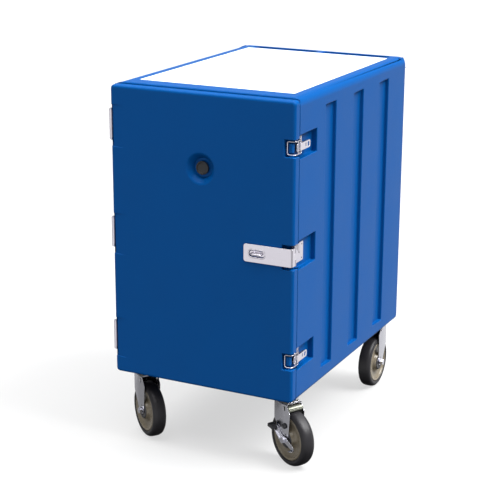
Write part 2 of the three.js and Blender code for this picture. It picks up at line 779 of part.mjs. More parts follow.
// ---- assembly ----
const carrier = new THREE.Group();
carrier.add(mesh("body_shell", bodyShell(), BLUE));
carrier.add(mesh("body_foam", bodyFoam(), FOAM));
FILL_HOLES.forEach(([x, y], i) => {
  const plug = post(x, y, 12, BODY.bottom + GAP, BODY.bottom + SKIN - GAP);
  carrier.add(mesh("foam_fill_plug_" + (i + 1), plug, DARK));
});
const board = upright(
  roundRect(-TOP_BOARD.half, TOP_BOARD.front, TOP_BOARD.half, TOP_BOARD.rear, TOP_BOARD.corner),
  BODY.top - TOP_BOARD.depth + GAP,
  BODY.top - TOP_BOARD.depth + GAP + TOP_BOARD.thickness,
  2,
);
carrier.add(mesh("top_board", board, WHITE));

carrier.add(mesh("door_shell", doorShell(), BLUE));
carrier.add(mesh("door_foam", doorFoam(), FOAM));
carrier.add(mesh("door_gasket", doorGasket(), RUBBER));
carrier.add(mesh("vent_tube", ventTube(), DARK));
carrier.add(mesh("vent_cap", ventCap(), RUBBER));

["lower", "middle", "upper"].forEach((place, i) => {
  const height = HINGE.heights[i];
  carrier.add(mesh(place + "_hinge_body_leaf", hingeBodyLeaf(height), STEEL));
  carrier.add(mesh(place + "_hinge_door_leaf", hingeDoorLeaf(height), STEEL));
  carrier.add(mesh(place + "_hinge_pin", hingePin(height), STEEL));
});

["lower", "upper"].forEach((place, i) => {
  const height = LATCH.heights[i];
  carrier.add(mesh(place + "_latch_base", latchBase(height), STEEL));
  carrier.add(mesh(place + "_latch_lever", latchLever(height), STEEL));
  carrier.add(mesh(place + "_latch_bail", latchBail(height), STEEL));
});

carrier.add(mesh("hasp_side_leaf", haspSideLeaf(), STEEL));
carrier.add(mesh("hasp_strap", haspStrap(), STEEL));
carrier.add(mesh("hasp_pin", haspPin(), STEEL));
carrier.add(mesh("hasp_staple", haspStaple(), STEEL));

// One caster: the pieces bolted to the body stand square to it, and the rest turn with the wheel.
function caster(name, x, y, turn, lead, fixed, turning, spacer = 0) {
  const place = new THREE.Group();
  place.position.set(x, y, 0);
  place.add(...fixed);
  const group = new THREE.Group();
  group.rotation.z = turn;
  place.add(group);
  for (const piece of turning) {
    group.add(piece);
  }
  const wheel = [
    mesh(name + "_wheel_tyre", tyre(), TYRE),
    mesh(name + "_wheel_hub", wheelHub(), HUB),
    mesh(name + "_wheel_bush", wheelBush(), ZINC),
  ];
  for (const piece of wheel) {
    piece.position.set(0, -lead, WHEEL.radius);
    group.add(piece);
  }
  group.add(mesh(name + "_axle_bolt", axleBolt(lead, spacer), ZINC));
  carrier.add(place);
}

for (const side of ["left", "right"]) {
  const x = side === "left" ? -CASTER.x : CASTER.x;
  const name = "front_" + side;
  const fixed = [
    mesh(name + "_swivel_plate", swivelPlate(), ZINC),
    mesh(name + "_kingpin", kingpin(), ZINC),
  ];
  const turning = [mesh(name + "_fork", swivelFork(), ZINC)];
  const braked = side === "right";
  if (braked) {
    turning.push(mesh(name + "_brake_pedal", brakePedal(), ZINC));
    turning.push(mesh(name + "_brake_shoe", brakeShoe(), ZINC));
  }
  const turn = THREE.MathUtils.degToRad(SWIVEL_HEADING[side] + 90);
  const spacer = braked ? BRAKE.sheet + 2 * GAP : 0;
  caster(name, x, CASTER.front, turn, CASTER.swivelLead, fixed, turning, spacer);
  const rear = "rear_" + side;
  caster(rear, x, CASTER.rear, 0, CASTER.rigidLead, [mesh(rear + "_fork", rigidFork(), ZINC)], []);
}

// The origin is on the floor, under the middle of the whole carrier.
const extent = new THREE.Box3().setFromObject(carrier, true);
carrier.position.x = -(extent.min.x + extent.max.x) / 2;
carrier.position.y = -(extent.min.y + extent.max.y) / 2;

export default carrier;
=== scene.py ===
import json
import math

import bmesh
import bpy
from mathutils import Matrix, Vector


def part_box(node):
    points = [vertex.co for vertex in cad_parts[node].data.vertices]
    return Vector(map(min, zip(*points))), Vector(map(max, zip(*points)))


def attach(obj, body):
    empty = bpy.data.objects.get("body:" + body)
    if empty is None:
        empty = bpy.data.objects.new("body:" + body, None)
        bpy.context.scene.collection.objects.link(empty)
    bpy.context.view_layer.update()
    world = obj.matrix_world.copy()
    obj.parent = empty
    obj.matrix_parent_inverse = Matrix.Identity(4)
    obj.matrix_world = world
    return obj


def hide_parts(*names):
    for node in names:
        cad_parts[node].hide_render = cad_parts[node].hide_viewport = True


# An insulated food carrier: a moulded body and door, steel fittings, and four casters.
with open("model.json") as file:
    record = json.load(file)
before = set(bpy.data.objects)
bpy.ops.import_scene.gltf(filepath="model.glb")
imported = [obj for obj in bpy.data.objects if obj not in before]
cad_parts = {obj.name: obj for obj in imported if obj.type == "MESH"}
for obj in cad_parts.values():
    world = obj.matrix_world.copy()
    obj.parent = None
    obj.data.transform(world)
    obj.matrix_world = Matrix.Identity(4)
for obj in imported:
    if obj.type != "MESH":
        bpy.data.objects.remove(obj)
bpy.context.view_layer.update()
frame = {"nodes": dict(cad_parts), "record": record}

# ---- driving dimensions: millimetres from the middle of the body's front face, at floor level ----
MM = 0.001
shell_low, shell_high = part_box("body_shell")
MIDDLE_X = (shell_low.x + shell_high.x) / 2
FRONT_Y = shell_low.y
BODY_BOTTOM, BODY_TOP = shell_low.z / MM, shell_high.z / MM
BODY_HALF, BODY_REAR = 260, 736
DOOR_BOTTOM, DOOR_TOP = (corner.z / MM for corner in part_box("door_shell"))
DOOR_HALF, DOOR_FRONT, DOOR_BACK = 261, -30, -5
CABIN_HALF, CABIN_REAR = 232, 704
RAIL_COUNT, RAIL_PITCH, FIRST_RAIL = 7, 85, 127
FOAM_HOLES = ((0, 210), (0, 520))
CHANNEL_STARTS = (153, 338, 523)
CHANNEL_WIDTH, CHANNEL_DEPTH, CHANNEL_EASE = 72, 10.3, 22
CHANNEL_BOTTOM, CHANNEL_TOP = 232, 940
HANDLE_INNER, HANDLE_OUTER, HANDLE_FRONT, HANDLE_BAR = 9, 215, 696, 722
HANDLE_DEPTH, HANDLE_BAR_HEIGHT = 46, 24
SWIVEL_CROWN = 176
SWIVEL_LEAD, RIGID_LEAD = 25, 20
HASP_PIN_X, HASP_PIN_Y, HASP_HALF = 254, -9, 25
STRAP_FRONT, STRAP_HALF = -33.6, 23.5
LATCH_PIVOT_X, LATCH_PIVOT_Y = 251, 6
LATCHES = ("lower", "upper")
HINGES = ("lower", "middle", "upper")
CASTERS = ("front_left", "front_right", "rear_left", "rear_right")


def place(x, y, z):
    """A point given in millimetres from the middle of the body's front face, at floor level."""
    return Vector((MIDDLE_X + x * MM, FRONT_Y + y * MM, z * MM))


def middle(node):
    low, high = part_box(node)
    return (low + high) / 2


def height_of(node):
    return middle(node).z / MM


LATCH_HEIGHTS = [height_of(f"{name}_latch_base") for name in LATCHES]
HINGE_HEIGHTS = [height_of(f"{name}_hinge_body_leaf") for name in HINGES]
HASP_HEIGHT = height_of("hasp_side_leaf")
VENT_HEIGHT = height_of("vent_cap")


# ---- mesh tools ----
def new_object(name, bm, smooth=True):
    bmesh.ops.recalc_face_normals(bm, faces=bm.faces)
    mesh = bpy.data.meshes.new(name)
    bm.to_mesh(mesh)
    bm.free()
    for face in mesh.polygons:
        face.use_smooth = smooth
    obj = bpy.data.objects.new(name, mesh)
    bpy.context.scene.collection.objects.link(obj)
    return obj


def fillet(points, radii, steps=6, closed=True):
    """The polyline with each corner rounded. radii is one number, or one for each point."""
    count = len(points)
    if not isinstance(radii, (list, tuple)):
        radii = [radii] * count
    result = []
    for i, point in enumerate(points):
        corner = Vector(point)
        if radii[i] <= 0 or (not closed and i in (0, count - 1)):
            result.append(tuple(corner))
            continue
        before = Vector(points[i - 1]) - corner
        after = Vector(points[(i + 1) % count]) - corner
        half_angle = before.angle(after) / 2
        reach = radii[i] / math.tan(half_angle) if half_angle > 0.01 else 0
        reach = min(reach, before.length * 0.499, after.length * 0.499)
        start = corner + before.normalized() * reach
        end = corner + after.normalized() * reach
        radius = reach * math.tan(half_angle)
        inward = (before.normalized() + after.normalized()).normalized()
        centre = corner + inward * (radius / math.sin(half_angle))
        for k in range(steps + 1):
            t = k / steps
            spot = start.lerp(end, t)
            if (spot - centre).length > 1e-9 and half_angle < 1.5:
                sweep = (start - centre).angle(end - centre)
                a = math.sin((1 - t) * sweep) / math.sin(sweep)
                b = math.sin(t * sweep) / math.sin(sweep)
                spot = centre + (start - centre) * a + (end - centre) * b
            result.append(tuple(spot))
    return result


def rectangle(u0, v0, u1, v1, radii=0, steps=6):
    """Rounded rectangle. Radii run low-left, low-right, high-right, high-left."""
    return fillet([(u0, v0), (u1, v0), (u1, v1), (u0, v1)], radii, steps)


def turned(axis, u, v, w):
    """The outline's point (u, v) at w along the axis, as (x, y, z)."""
    if axis == "x":
        return (w, u, v)
    if axis == "y":
        return (u, w, v)
    return (u, v, w)


def prism(outline, axis, start, end, at=place, name="tool"):
    """outline is drawn in the two other axes: (y, z) for x, (x, z) for y, (x, y) for z."""
    bm = bmesh.new()
    near, far = ([bm.verts.new(at(*turned(axis, u, v, w))) for u, v in outline] for w in (start, end))
    bm.faces.new(near)
    bm.faces.new(far[::-1])
    for i in range(len(outline)):
        j = (i + 1) % len(outline)
        bm.faces.new((near[i], near[j], far[j], far[i]))
    return new_object(name, bm)


def lathe(name, profile, origin, direction, sides=72):
    """A closed profile of (radius, along) millimetres turned about a line through origin."""
    along = Vector(direction).normalized()
    side = along.orthogonal().normalized()
    other = along.cross(side)
    bm = bmesh.new()
    rings = []
    for k in range(sides):
        angle = 2 * math.pi * k / sides
        out = side * math.cos(angle) + other * math.sin(angle)
        rings.append([bm.verts.new(origin + along * (h * MM) + out * (r * MM)) for r, h in profile])
    for k in range(sides):
        ring, after = rings[k], rings[(k + 1) % sides]
        for i in range(len(profile)):
            j = (i + 1) % len(profile)
            bm.faces.new((ring[i], ring[j], after[j], after[i]))
    bmesh.ops.remove_doubles(bm, verts=bm.verts, dist=1e-6)
    bmesh.ops.dissolve_degenerate(bm, dist=1e-7, edges=bm.edges)
    return new_object(name, bm)


def rod(name, radius, start, end, origin, direction, sides=32):
    """A round bar, or with that shape a tool that cuts a hole."""
    return lathe(name, [(0, start), (radius, start), (radius, end), (0, end)], origin, direction, sides)


def wire(name, path, radius):
    curve = bpy.data.curves.new(name, "CURVE")
    curve.dimensions = "3D"
    line = curve.splines.new("POLY")
    line.points.add(len(path) - 1)
    for point, spot in zip(line.points, path):
        point.co = (*spot, 1)
    curve.bevel_depth = radius * MM
    curve.bevel_resolution = 4
    curve.use_fill_caps = True
    made = bpy.data.objects.new(name, curve)
    bpy.context.scene.collection.objects.link(made)
    return made


def bolt_heads(name, spots, radius, thickness, direction, sides=6):
    profile = [(0, 0), (radius, 0), (radius, thickness * 0.75), (radius * 0.86, thickness), (0, thickness)]
    bm = bmesh.new()
    for spot in spots:
        head = lathe("head", profile, spot, direction, sides)
        bm.from_mesh(head.data)
        bpy.data.objects.remove(head)
    return new_object(name, bm, smooth=False)


def apply_modifiers(obj):
    bpy.context.view_layer.update()
    made = bpy.data.meshes.new_from_object(obj.evaluated_get(bpy.context.evaluated_depsgraph_get()))
    obj.modifiers.clear()
    obj.data = made


def combine(obj, tools, operation):
    for tool in tools:
        cut = obj.modifiers.new("combine", "BOOLEAN")
        cut.operation = operation
        cut.solver = "EXACT"
        cut.object = tool
    apply_modifiers(obj)
    for tool in tools:
        bpy.data.objects.remove(tool)


def block(low, high, radii):
    """A box whose edges are rounded. radii maps an edge's direction and its two signs to millimetres."""
    bm = bmesh.new()
    bmesh.ops.create_cube(bm, size=1)
    lowest, highest = place(*low), place(*high)
    for vert in bm.verts:
        vert.co = Vector(highest[i] if vert.co[i] > 0 else lowest[i] for i in range(3))
    weights = bm.edges.layers.float.new("bevel_weight_edge")
    centre = (lowest + highest) / 2
    most = max(radii.values())
    for edge in bm.edges:
        span = edge.verts[0].co - edge.verts[1].co
        axis = max(range(3), key=lambda i: abs(span[i]))
        spot = (edge.verts[0].co + edge.verts[1].co) / 2 - centre
        key = "xyz"[axis] + "".join("+" if spot[i] > 0 else "-" for i in range(3) if i != axis)
        edge[weights] = radii.get(key, 0) / most
    obj = new_object("block", bm)
    bevel = obj.modifiers.new("rounding", "BEVEL")
    bevel.width = most * MM
    bevel.segments = 8
    bevel.limit_method = "WEIGHT"
    bevel.use_clamp_overlap = False
    apply_modifiers(obj)
    return obj


def soften(obj, width_at, sharpness=35, segments=3, inside=None):
    """Rounds each sharp edge, and keeps flat faces flat in shading.

    width_at is a number of millimetres, or gives one from the place of the edge's middle. With
    inside, a CAD node's name, no corner is left standing out of that node's box.
    """
    widest = 10
    bm = bmesh.new()
    bm.from_mesh(obj.data)
    bmesh.ops.remove_doubles(bm, verts=bm.verts, dist=2e-5)
    bmesh.ops.dissolve_limit(bm, angle_limit=math.radians(0.5), verts=bm.verts, edges=bm.edges)
    weights = bm.edges.layers.float.get("bevel_weight_edge") or bm.edges.layers.float.new("bevel_weight_edge")
    for edge in bm.edges:
        edge[weights] = 0
        if len(edge.link_faces) == 2 and edge.calc_face_angle(0) > math.radians(sharpness):
            width = width_at
            if callable(width_at):
                spot = (edge.verts[0].co + edge.verts[1].co) / 2
                width = width_at((spot.x - MIDDLE_X) / MM, (spot.y - FRONT_Y) / MM, spot.z / MM)
            edge[weights] = width / widest
    for face in bm.faces:
        face.smooth = True
    bm.to_mesh(obj.data)
    bm.free()
    bevel = obj.modifiers.new("soft edges", "BEVEL")
    bevel.width = widest * MM
    bevel.segments = segments
    bevel.limit_method = "WEIGHT"
    bevel.use_clamp_overlap = False
    if inside:
        apply_modifiers(obj)
        low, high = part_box(inside)
        for vert in obj.data.vertices:
            vert.co = Vector(min(max(vert.co[i], low[i]), high[i]) for i in range(3))
    keep_faces_flat(obj)
    return obj


def keep_faces_flat(obj):
    normals = obj.modifiers.new("flat faces", "WEIGHTED_NORMAL")
    normals.keep_sharp = False


# ---- shader tools ----
def feed(tree, socket, value):
    """Sets an input to a number, or links it to another node's output."""
    if isinstance(value, bpy.types.NodeSocket):
        tree.links.new(value, socket)
    else:
        socket.default_value = value


def arithmetic(tree, operation, *values):
    node = tree.nodes.new("ShaderNodeMath")
    node.operation = operation
    for socket, value in zip(node.inputs, values):
        feed(tree, socket, value)
    return node.outputs["Value"]


def map_range(tree, value, source, target, smooth=False):
    """Maps the value from one pair of numbers to another, and holds it between them."""
    node = tree.nodes.new("ShaderNodeMapRange")
    if smooth:
        node.interpolation_type = "SMOOTHSTEP"
    for label, number in zip(("From Min", "From Max", "To Min", "To Max"), (*source, *target)):
        node.inputs[label].default_value = number
    feed(tree, node.inputs["Value"], value)
    return node.outputs["Result"]


def blend_colours(tree, factor, first, second):
    node = tree.nodes.new("ShaderNodeMix")
    node.data_type = "RGBA"
    feed(tree, node.inputs["Factor"], factor)
    feed(tree, node.inputs["A"], first)
    feed(tree, node.inputs["B"], second)
    return node.outputs["Result"]


def painted_edge_highlight(tree, amount, breakup):
    """A mask of the convex and concave edges, broken up by noise, where a painted highlight lightens the
    colour.
    """
    rounded = tree.nodes.new("ShaderNodeBevel")
    rounded.samples = 4
    rounded.inputs["Radius"].default_value = 0.0016
    surface = tree.nodes.new("ShaderNodeNewGeometry")
    agreement = tree.nodes.new("ShaderNodeVectorMath")
    agreement.operation = "DOT_PRODUCT"
    tree.links.new(rounded.outputs["Normal"], agreement.inputs[0])
    tree.links.new(surface.outputs["Normal"], agreement.inputs[1])
    mask = map_range(tree, agreement.outputs["Value"], (0.995, 0.90), (0, amount))
    return arithmetic(tree, "MULTIPLY", mask, breakup)


# ---- finishes ----
def finish(name, colour, roughness, metallic=0.0, specular=0.5, mottle=0.08, mottle_scale=9.0, grain=0.12,
           grain_scale=700.0, relief=0.1, wear=0.0, stretch=(1, 1, 1)):
    """A plain colour with faint patches, fine grain in its gloss and relief, and edges made paler by a
    painted highlight.
    """
    mat = bpy.data.materials.new(name)
    mat.use_nodes = True
    tree = mat.node_tree
    shader = tree.nodes["Principled BSDF"]
    shader.inputs["Metallic"].default_value = metallic
    shader.inputs["Specular IOR Level"].default_value = specular
    where = tree.nodes.new("ShaderNodeTexCoord")
    mapping = tree.nodes.new("ShaderNodeMapping")
    mapping.inputs["Scale"].default_value = stretch
    tree.links.new(where.outputs["Object"], mapping.inputs["Vector"])

    def noise(scale, detail):
        made = tree.nodes.new("ShaderNodeTexNoise")
        made.inputs["Scale"].default_value = scale
        made.inputs["Detail"].default_value = detail
        tree.links.new(mapping.outputs["Vector"], made.inputs["Vector"])
        return made.outputs["Fac"]

    patches = noise(mottle_scale, 4)
    grains = noise(grain_scale, 2)
    dark = tuple(c * (1 - mottle) for c in colour) + (1,)
    light = tuple(min(1, c * (1 + mottle)) for c in colour) + (1,)
    tint = blend_colours(tree, patches, dark, light)
    unevenness = arithmetic(tree, "MULTIPLY_ADD", grains, 0.4, arithmetic(tree, "MULTIPLY", patches, 0.6))
    rough = map_range(tree, unevenness, (0, 1), (max(0.02, roughness - grain), min(1, roughness + grain)))
    tree.links.new(rough, shader.inputs["Roughness"])
    # painted highlight: the colour is lightened along the edges that the mask finds
    if wear > 0:
        pale = tuple(min(1, c * 1.5 + 0.06) for c in colour) + (1,)
        tint = blend_colours(tree, painted_edge_highlight(tree, wear, noise(60, 3)), tint, pale)
    tree.links.new(tint, shader.inputs["Base Color"])
    bump = tree.nodes.new("ShaderNodeBump")
    bump.inputs["Strength"].default_value = relief
    bump.inputs["Distance"].default_value = 0.0004
    tree.links.new(grains, bump.inputs["Height"])
    tree.links.new(bump.outputs["Normal"], shader.inputs["Normal"])
    return mat


# wear sets how strongly each finish's edges are lightened by painted highlight
FINISHES = {
    "blue_polyethylene": finish("blue polyethylene", (0.0006, 0.075, 0.29), 0.38, specular=0.06, mottle=0.05,
                                grain_scale=380, relief=0.35, wear=0.5),
    "insulation_foam": finish("cream foam", (0.78, 0.66, 0.38), 0.9, mottle=0.15, grain_scale=250,
                              relief=0.8),
    "white_board": finish("white board", (0.86, 0.86, 0.87), 0.5, mottle=0.01, grain=0.03, grain_scale=500,
                          relief=0.15),
    "black_rubber": finish("black rubber", (0.022, 0.022, 0.025), 0.55, mottle=0.2, grain_scale=500,
                           relief=0.3),
    "dark_plastic": finish("dark plastic", (0.04, 0.04, 0.046), 0.45, mottle=0.15, grain_scale=600,
                           relief=0.2),
    "stainless_steel": finish("stainless steel", (0.74, 0.71, 0.78), 0.30, metallic=1.0, mottle=0.03,
                              grain=0.1, mottle_scale=25, grain_scale=120, relief=0.12, wear=0.4,
                              stretch=(1, 1, 14)),
    "zinc_plate": finish("zinc plate", (0.58, 0.58, 0.63), 0.24, metallic=1.0, mottle=0.1, mottle_scale=40,
                         grain_scale=260, relief=0.15, wear=0.3),
    "wheel_tyre": finish("grey tyre", (0.022, 0.021, 0.024), 0.42, specular=0.3, mottle=0.18,
                         mottle_scale=14, grain_scale=420, relief=0.4),
    "wheel_hub": finish("beige hub", (0.205, 0.175, 0.128), 0.28, mottle=0.06, grain_scale=300, relief=0.15,
                        wear=0.2),
}
# A darker copy of the stainless steel: painted shade for the latch base plates, which sit behind the levers.
SHADED_STEEL = finish("steel darkened as painted shade", (0.22, 0.21, 0.24), 0.4, metallic=1.0, mottle=0.05, mottle_scale=25,
                      grain_scale=120, relief=0.12, wear=0.2)
# A darker, greenish copy of the zinc made as painted shade, used for the swivel race and the brake shoe under
# the body.
SHADE_DARK_ZINC = finish("zinc darkened as painted shade", (0.30, 0.31, 0.26), 0.5, metallic=0.7, mottle=0.2, mottle_scale=40,
                   grain_scale=260, relief=0.2, wear=0.2)


def dress(obj, slot, body, replaces=(), look=None):
    """Gives a new piece its finish, and rides it on a CAD body."""
    obj.data.materials.clear()
    obj.data.materials.append(look or FINISHES[slot])
    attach(obj, body)
    if replaces:
        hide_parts(*replaces)


# ---- body ----
def channel_tool(start, side):
    """A shallow side channel: eased in at the front, square at its rear wall."""
    edge = BODY_HALF + 2
    steps = 8
    outline = [(edge, start)]
    for k in range(steps + 1):
        t = k / steps
        eased = t * t * (3 - 2 * t)
        outline.append((BODY_HALF + 0.3 - CHANNEL_DEPTH * eased, start + CHANNEL_EASE * t))
    outline += [(BODY_HALF - 10, start + CHANNEL_WIDTH - 1.5), (edge, start + CHANNEL_WIDTH)]
    points = [(side * x, y) for x, y in outline]
    return prism(points if side > 0 else points[::-1], "z", CHANNEL_BOTTOM, CHANNEL_TOP)


def recess_tools():
    """The latch and hasp recesses of the right side, and the hinge recesses of the left one."""
    outside = BODY_HALF + 2
    tools = [prism(rectangle(-9, z - 30, 104, z + 30), "x", 244, outside) for z in LATCH_HEIGHTS]
    tools.append(prism(rectangle(-9, HASP_HEIGHT - 38, 105, HASP_HEIGHT + 38), "x", 246, outside))
    tools += [prism(rectangle(-9, z - 55, 46, z + 55), "x", -outside, -257) for z in HINGE_HEIGHTS]
    return tools


def handle_tools():
    """Two wells at the rear of the top, each with a window under the bar that a hand grips."""
    tools = []
    bottom = BODY_TOP - HANDLE_DEPTH
    for side in (-1, 1):
        x0, x1 = sorted((side * HANDLE_INNER, side * HANDLE_OUTER))
        tools.append(prism(rectangle(x0, HANDLE_FRONT, x1, HANDLE_BAR, 12), "z", bottom, BODY_TOP + 2))
        window = rectangle(x0, bottom, x1, BODY_TOP - HANDLE_BAR_HEIGHT, 6)
        tools.append(prism(window, "y", HANDLE_BAR - 10, BODY_REAR + 6))
    return tools


def cabin_tool():
    """The cabin's space, less the rails that stay standing on its two walls."""
    space = rectangle(-CABIN_HALF, BODY_BOTTOM + 45, CABIN_HALF, BODY_TOP - 60, 16)
    cabin = prism(space, "y", -2, CABIN_REAR)
    root, reach = CABIN_HALF + 8, CABIN_HALF - 18
    rails = []
    for i in range(RAIL_COUNT):
        rest = BODY_BOTTOM + FIRST_RAIL + RAIL_PITCH * i
        for side in (-1, 1):
            corners = [(root, rest - 16), (reach, rest - 6), (reach, rest), (root, rest)]
            ledge = fillet([(side * x, z) for x, z in corners], [0, 3, 2, 0])
            rails.append(prism(ledge if side > 0 else ledge[::-1], "y", 30, CABIN_REAR + 6))
    combine(cabin, rails, "DIFFERENCE")
    return cabin


def body_edge_width(x, y, z):
    if z > BODY_TOP - 5 and y < 688:  # the board's pocket
        return 0.6
    if abs(x) < CABIN_HALF + 4 and 20 < y < CABIN_REAR + 2 and z < BODY_TOP - 58:  # the cabin
        return 1.5
    if y > 690 and z > BODY_TOP - 53:  # the handle wells
        return 3.0
    if z < BODY_BOTTOM + 3 or y < 2:  # the foam's holes and the cabin's mouth
        return 0.5
    return 2.4


def body_piece():
    radii = {"y-+": 22, "y++": 22, "y--": 10, "y+-": 10, "z-+": 16, "z++": 16, "z--": 0.8, "z+-": 0.8,
             "x-+": 5, "x++": 10, "x--": 0.8, "x+-": 10}
    body = block((-BODY_HALF, 0, BODY_BOTTOM), (BODY_HALF, BODY_REAR, BODY_TOP), radii)
    rear_lip = rectangle(700, BODY_TOP - 30, BODY_REAR + 4, BODY_TOP - 2, [0, 4, 9, 0])
    combine(body, [prism(rear_lip, "x", -250, 250)], "UNION")
    tools = [channel_tool(start, side) for side in (-1, 1) for start in CHANNEL_STARTS]
    board_pocket = rectangle(-220.5, 50.5, 220.5, 684.5, 4)
    tools += recess_tools()
    tools.append(prism(board_pocket, "z", BODY_TOP - 3, BODY_TOP + 2))
    tools += handle_tools()
    combine(body, tools, "DIFFERENCE")
    combine(body, [cabin_tool()], "DIFFERENCE")
    for x, y in FOAM_HOLES:
        hole = rectangle(x - 12, y - 12, x + 12, y + 12, 11.9)
        combine(body, [prism(hole, "z", BODY_BOTTOM - 2, BODY_BOTTOM + 4)], "DIFFERENCE")
    return soften(body, body_edge_width, inside="body_shell")


moulded_body = body_piece()
moulded_body.name = "moulded_body"
dress(moulded_body, "blue_polyethylene", "root", ["body_shell"])


# ---- door ----
def notch_tools():
    """The hinge notches of the left edge, and the latch and hasp notches of the right one."""
    tools = []
    front, back = DOOR_FRONT - 2, DOOR_BACK + 2
    for z in HINGE_HEIGHTS:
        slot = fillet([(-270, z - 61), (-255, z - 52), (-255, z + 52), (-270, z + 61)], [0, 4, 4, 0])
        tools.append(prism(slot, "y", front, back))
        wedge = [(-270, -31), (-219, -31), (-221, -30.02), (-262, -27.4), (-270, -26.8)]
        tools.append(prism(wedge, "z", z - 55, z + 55))
    cuts = [(z, 22, 232, 249) for z in LATCH_HEIGHTS] + [(HASP_HEIGHT, 32, 228, 245)]
    for z, half, shallow, deep in cuts:
        tools.append(prism(rectangle(shallow, z - half, 265, z + half), "y", front, -12))
        tools.append(prism(rectangle(deep, z - half, 265, z + half), "y", front, back))
    return tools


def vent_tools():
    """The dish round the vent, and the bore that its cap's stem goes through."""
    centre = place(0, 0, VENT_HEIGHT)
    dish = [(0, -32), (42.2, -32), (40.6, -30)]
    for t in (0.12, 0.3, 0.5, 0.7, 0.88, 1):
        dish.append((40 - 15 * t - 2.2 * math.sin(math.pi * t), -30 + 19 * t))
    dish.append((0, -11))
    return [lathe("dish", dish, centre, (0, 1, 0), 96), rod("bore", 11, -40, 30, centre, (0, 1, 0), 48)]


def door_edge_width(x, y, z):
    from_vent = math.hypot(x, z - VENT_HEIGHT)
    if y > 10:  # the plug, which is round already
        return 0
    if y > -9 and abs(x) > 240:  # the back edges
        return 0.4
    if abs(x) < 60 and abs(z - VENT_HEIGHT) < 60:  # the dish's rim, and the bore
        return 2.6 if from_vent > 30 else 0.8
    if x > 225:  # the latch and hasp notches
        return 1.8
    if x < -215:  # the hinge notches
        return 1.2
    return 0.8


def door_piece():
    radii = {"y-+": 11, "y++": 11, "y--": 11, "y+-": 11, "z--": 8, "z+-": 8, "x--": 8, "x-+": 8,
             "z-+": 0.5, "z++": 0.5, "x+-": 1.2, "x++": 1.2}
    door = block((-DOOR_HALF, DOOR_FRONT, DOOR_BOTTOM), (DOOR_HALF, DOOR_BACK, DOOR_TOP), radii)
    plug_radii = {"y-+": 20, "y++": 20, "y--": 20, "y+-": 20, "z-+": 7, "z++": 7, "x+-": 7, "x++": 7}
    plug = block((-228, -13, DOOR_BOTTOM + 48), (228, 25, DOOR_TOP - 60), plug_radii)
    combine(door, [plug], "UNION")
    combine(door, notch_tools() + vent_tools(), "DIFFERENCE")
    post = rectangle(240, -23.5, 251.5, -9, [4, 4, 0, 0])
    combine(door, [prism(post, "z", z - 12, z + 12) for z in LATCH_HEIGHTS], "UNION")
    return soften(door, door_edge_width, inside="door_shell")


moulded_door = door_piece()
moulded_door.name = "moulded_door"
dress(moulded_door, "blue_polyethylene", "door", ["door_shell"])

# ---- casters: each profile is half of one, as (radius, across) from the smallest radius outwards ----
TYRE_HALF = [(60, 17.2), (61.5, 18.4), (64, 19), (67, 18.6), (70.5, 17.2), (73.4, 14.8), (75.2, 11.2),
             (75.9, 7), (76, 2.5)]
HUB_HALF = [(9.3, 21), (23, 21), (24.6, 20), (25.4, 15), (28, 11.5), (36, 9.6), (45, 10.4), (51, 13),
            (53.4, 16.6), (54.6, 17.9), (57.6, 17.9), (59, 16.6), (59.7, 15)]
GUARD = [(12, 21.1), (23.2, 21.1), (23.6, 21.5), (23.2, 22.3), (19, 22.6), (12, 22.4)]  # a whole section


def mirrored(half):
    return half + [(r, -h) for r, h in reversed(half)]


def caster_frame(name):
    """Maps millimetres across the wheel, behind its axle and above the floor to a place."""
    centre = middle(f"{name}_wheel_tyre")
    trail = Vector((0, -1, 0))
    if name.startswith("front"):
        trail = centre - middle(f"{name}_kingpin")
        trail.z = 0
        trail.normalize()
    axle = Vector((-trail.y, trail.x, 0))

    def at(s, u, z):
        return Vector((centre.x, centre.y, 0)) + axle * (s * MM) + trail * (u * MM) + Vector((0, 0, z * MM))

    return at, axle, centre


def fork_piece(name, top, ahead, heel, lead=0):
    """Two legs and their crown, folded from one sheet and turned in a little along an upright line.

    lead is how far ahead of the axle a kingpin's bore goes through the crown.
    """
    at, axle, centre = caster_frame(name)
    z = centre.z / MM
    foot = [(11 * math.cos(math.radians(a)), z + 11 * math.sin(math.radians(a))) for a in range(0, -163, -18)]
    knee = fillet([foot[-1], (-ahead, z + 46), (-ahead, top + 2)], [0, 14, 0], closed=False)
    neck = [(heel - 15, top + 2), (heel - 15, top - 3), (heel, top - 27), foot[0]]
    neck = fillet(neck, [0, 4, 6, 0], closed=False)
    outline = prism(neck[:-1] + foot + knee[1:], "x", -30, 30, at)
    outer, inner, low = 26.5, 23, 60
    section = [(-outer, low), (-outer, top), (outer, top), (outer, low),
               (inner, low), (inner, top - 4), (-inner, top - 4), (-inner, low)]
    section = fillet(section, [0, 9, 9, 0, 0, 5.5, 5.5, 0])
    fork = prism(section, "y", -ahead - 2, heel + 2, at, f"{name}_folded_fork")
    half = [(23.6, heel), (outer, -ahead * 0.34), (24.1, -ahead)]
    plan = prism(half + [(-s, u) for s, u in reversed(half)], "z", 50, top + 5, at)
    combine(fork, [outline, plan], "INTERSECT")
    tools = [prism(rectangle(-7.5, top - 21, -1.5, top - 9, 2.9), "x", -30, 30, at)]
    tools.append(rod("hole", 2.2, -30, 30, at(0, 0, z + 13), axle, 16))
    if lead:
        tools.append(rod("bore", 7.4, -9, 9, at(0, -lead, top), (0, 0, 1)))
    combine(fork, tools, "DIFFERENCE")
    return soften(fork, 0.9, sharpness=30)


def wheel_pieces(name, axle, centre):
    wheel = f"{name}_wheel"
    tyre = lathe(f"{name}_tyre", mirrored(TYRE_HALF), centre, axle, 96)
    dress(tyre, "wheel_tyre", wheel, [f"{name}_wheel_tyre"])
    hub = lathe(f"{name}_hub", mirrored(HUB_HALF), centre, axle, 96)
    dress(hub, "wheel_hub", wheel, [f"{name}_wheel_hub"])
    for side, label in ((-1, "inner"), (1, "outer")):
        profile = [(r, side * h) for r, h in GUARD]
        dress(lathe(f"{name}_{label}_thread_guard", profile, centre, axle, 48), "dark_plastic", wheel)


